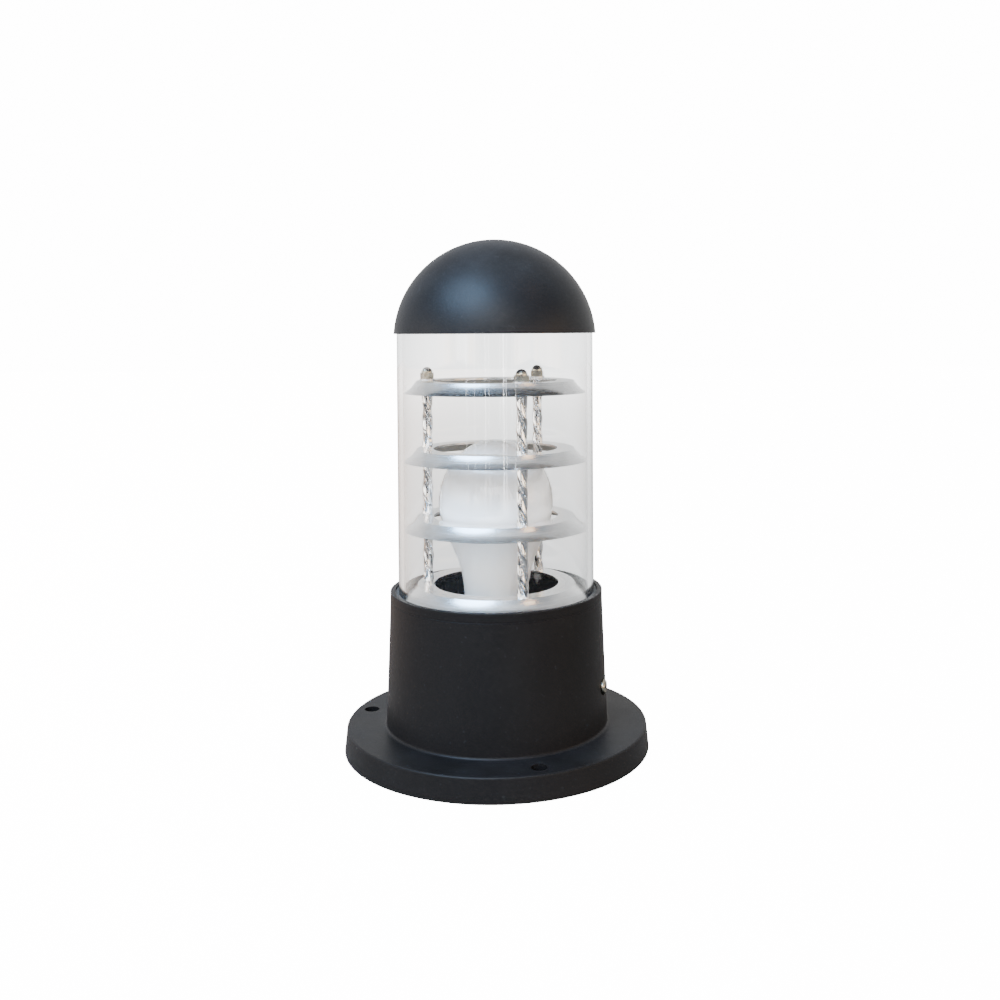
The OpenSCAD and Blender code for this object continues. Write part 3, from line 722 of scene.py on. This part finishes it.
FLOOR_PLAIN = (0.22, 0.19, 0.16, 1.0)
FLOOR_WARM = (0.6, 0.36, 0.22, 1.0)
FLOOR_DARK = (0.02, 0.02, 0.02, 1.0)
ROOM_DIM = (0.30, 0.29, 0.28, 1.0)
ROOM_PANE = (6.2, 6.2, 6.2, 1.0)
ROOM_WARM_PANE = (6.2, 4.3, 2.7, 1.0)
ROOM_AHEAD = (0.02, 0.02, 0.022, 1.0)
ROOM_ABOVE = (0.26, 0.30, 0.36, 1.0)
ROOM_CEILING = (1.9, 1.88, 1.84, 1.0)
WALL_LOW = (1.5, 1.5, 1.5, 1.0)
WALL_HIGH = (1.0, 1.0, 1.0, 1.0)


def seen_through(tree, rays):
    """Masks for rays straight through clear walls, and for those turned in one wall."""
    bounces = maths(tree, "ADD", rays["Glossy Depth"], rays["Diffuse Depth"])
    unbounced = maths(tree, "LESS_THAN", bounces, 0.5)
    one_wall = maths(tree, "LESS_THAN", rays["Transmission Depth"], 3.5)
    turned = maths(tree, "SUBTRACT", one_wall, unbounced, clamp=True)
    leaving = rays["Is Transmission Ray"]
    return (
        maths(tree, "MULTIPLY", leaving, unbounced),
        maths(tree, "MULTIPLY", leaving, turned),
    )


def build_stage():
    """A floor that looks white to the camera and through the clear tube. What it throws
    back at the part is dim: warm on the left, and dark in front of the foot."""
    shape = bmesh.new()
    bmesh.ops.create_grid(shape, x_segments=2, y_segments=2, size=FLOOR_SIZE)
    mesh = bpy.data.meshes.new("pale_floor")
    shape.to_mesh(mesh)
    shape.free()
    floor = bpy.data.objects.new("pale_floor", mesh)
    bpy.context.scene.collection.objects.link(floor)
    floor.location.z = -FLOOR_DROP
    material, tree, shader = new_material("pale_floor")
    place = object_place(tree)
    axes = split(tree, place)
    distance = length(tree, place)

    left = ramp(tree, axes[0], -0.05, -0.5)
    ground = mix_colour(tree, left, FLOOR_PLAIN, FLOOR_WARM)
    front = ramp(tree, axes[1], 0.1, -0.1)
    before = maths(tree, "MULTIPLY", front, ramp(tree, distance, 0.22, 0.42))
    ground = mix_colour(tree, before, ground, FLOOR_DARK)
    give(tree, shader.inputs["Base Color"], ground)
    shader.inputs["Roughness"].default_value = 0.8

    through = ramp(tree, distance, 0.3, 4.0, 1.3, SEEN_THROUGH)
    far = ramp(tree, distance, 0.8, 1.3, 0.0, 0.4)
    behind = maths(tree, "MAXIMUM", ramp(tree, axes[1], -0.15, 0.15), far)
    rays = tree.nodes.new("ShaderNodeLightPath").outputs
    straight, turned = seen_through(tree, rays)
    clear = maths(tree, "ADD", straight, maths(tree, "MULTIPLY", turned, behind))
    to_camera = maths(tree, "MULTIPLY", rays["Is Camera Ray"], SEEN_STRAIGHT)
    lit = maths(tree, "ADD", to_camera, maths(tree, "MULTIPLY", clear, through))
    shader.inputs["Emission Color"].default_value = (1.0, 1.0, 1.0, 1.0)
    give(tree, shader.inputs["Emission Strength"], lit)
    mesh.materials.append(material)


def build_world():
    """A room with a white wall behind the light, and in front of it tall panes in a dim
    wall, a dark patch dead ahead and a bright ceiling."""
    world = bpy.data.worlds.new("studio")
    bpy.context.scene.world = world
    world.use_nodes = True
    tree = world.node_tree
    way = tree.nodes.new("ShaderNodeTexCoord").outputs["Generated"]
    axes = split(tree, way)

    flat = maths(tree, "MULTIPLY", axes[2], 0.12)
    upright = join(tree, axes[0], axes[1], flat)
    panes = ramp(tree, noise(tree, upright, 4.5, 2.0, 0.6), 0.42, 0.48)
    warmth = ramp(tree, noise(tree, upright, 3.0, 1.0), 0.46, 0.60)
    pane = mix_colour(tree, warmth, ROOM_PANE, ROOM_WARM_PANE)
    around = mix_colour(tree, panes, ROOM_DIM, pane)
    ahead = ramp(tree, axes[1], -0.86, -0.95)
    front = mix_colour(tree, ahead, around, ROOM_AHEAD)
    above = ramp(tree, axes[2], 0.12, 0.42)
    front = mix_colour(tree, above, front, ROOM_ABOVE)
    ceiling = ramp(tree, axes[2], 0.8, 0.97)
    front = mix_colour(tree, ceiling, front, ROOM_CEILING)
    wall = mix_colour(tree, above, WALL_LOW, WALL_HIGH)
    room = mix_colour(tree, ramp(tree, axes[1], -0.15, 0.3), front, wall)

    rays = tree.nodes.new("ShaderNodeLightPath").outputs
    straight, turned = seen_through(tree, rays)
    back = ramp(tree, axes[1], -0.1, 0.1)
    clear = maths(tree, "ADD", straight, maths(tree, "MULTIPLY", turned, back))
    through = (SEEN_THROUGH, SEEN_THROUGH, SEEN_THROUGH, 1.0)
    plain = (SEEN_STRAIGHT, SEEN_STRAIGHT, SEEN_STRAIGHT, 1.0)
    seen = mix_colour(tree, clear, room, through)
    seen = mix_colour(tree, rays["Is Camera Ray"], seen, plain)
    give(tree, tree.nodes["Background"].inputs["Color"], seen)


def add_light(name, azimuth, height, size, radiance, colour, distance, shape):
    """A panel of that radiance, so many degrees to the right of the front and up."""
    light = bpy.data.lights.new(name, "AREA")
    light.shape = shape
    light.size, light.size_y = size
    filled = math.pi / 4 if shape == "ELLIPSE" else 1.0
    light.energy = math.pi * size[0] * size[1] * filled * radiance
    light.color = colour
    lamp = bpy.data.objects.new(name, light)
    bpy.context.scene.collection.objects.link(lamp)
    turn, rise = math.radians(azimuth), math.radians(height)
    forward = math.cos(turn) * math.cos(rise)
    way = Vector((math.sin(turn) * math.cos(rise), -forward, math.sin(rise)))
    lamp.location = LIT_PLACE + way * distance
    lamp.rotation_euler = (-way).to_track_quat("-Z", "Y").to_euler()
    lamp.visible_camera = False


def build_lights():
    for name, (azimuth, height, size, radiance, colour) in SOFTBOXES.items():
        add_light(
            name, azimuth, height, size, radiance, colour, SOFTBOX_DISTANCE, "ELLIPSE"
        )
    for number, (azimuth, radiance) in enumerate(PANES, 1):
        add_light(
            f"pane_{number}",
            azimuth,
            PANE_HEIGHT,
            PANE_SIZE,
            radiance,
            PANE_COLOUR,
            PANE_DISTANCE,
            "RECTANGLE",
        )


def build_camera():
    data = bpy.data.cameras.new("camera")
    data.sensor_width = CAMERA_SENSOR
    data.lens = CAMERA_LENS
    data.shift_x, data.shift_y = CAMERA_SHIFT
    data.clip_start = CAMERA_NEAR
    camera = bpy.data.objects.new("camera", data)
    bpy.context.scene.collection.objects.link(camera)
    camera.location = CAMERA_PLACE
    camera.rotation_euler = CAMERA_TURN
    bpy.context.scene.camera = camera


build_stage()
build_world()
build_lights()
build_camera()
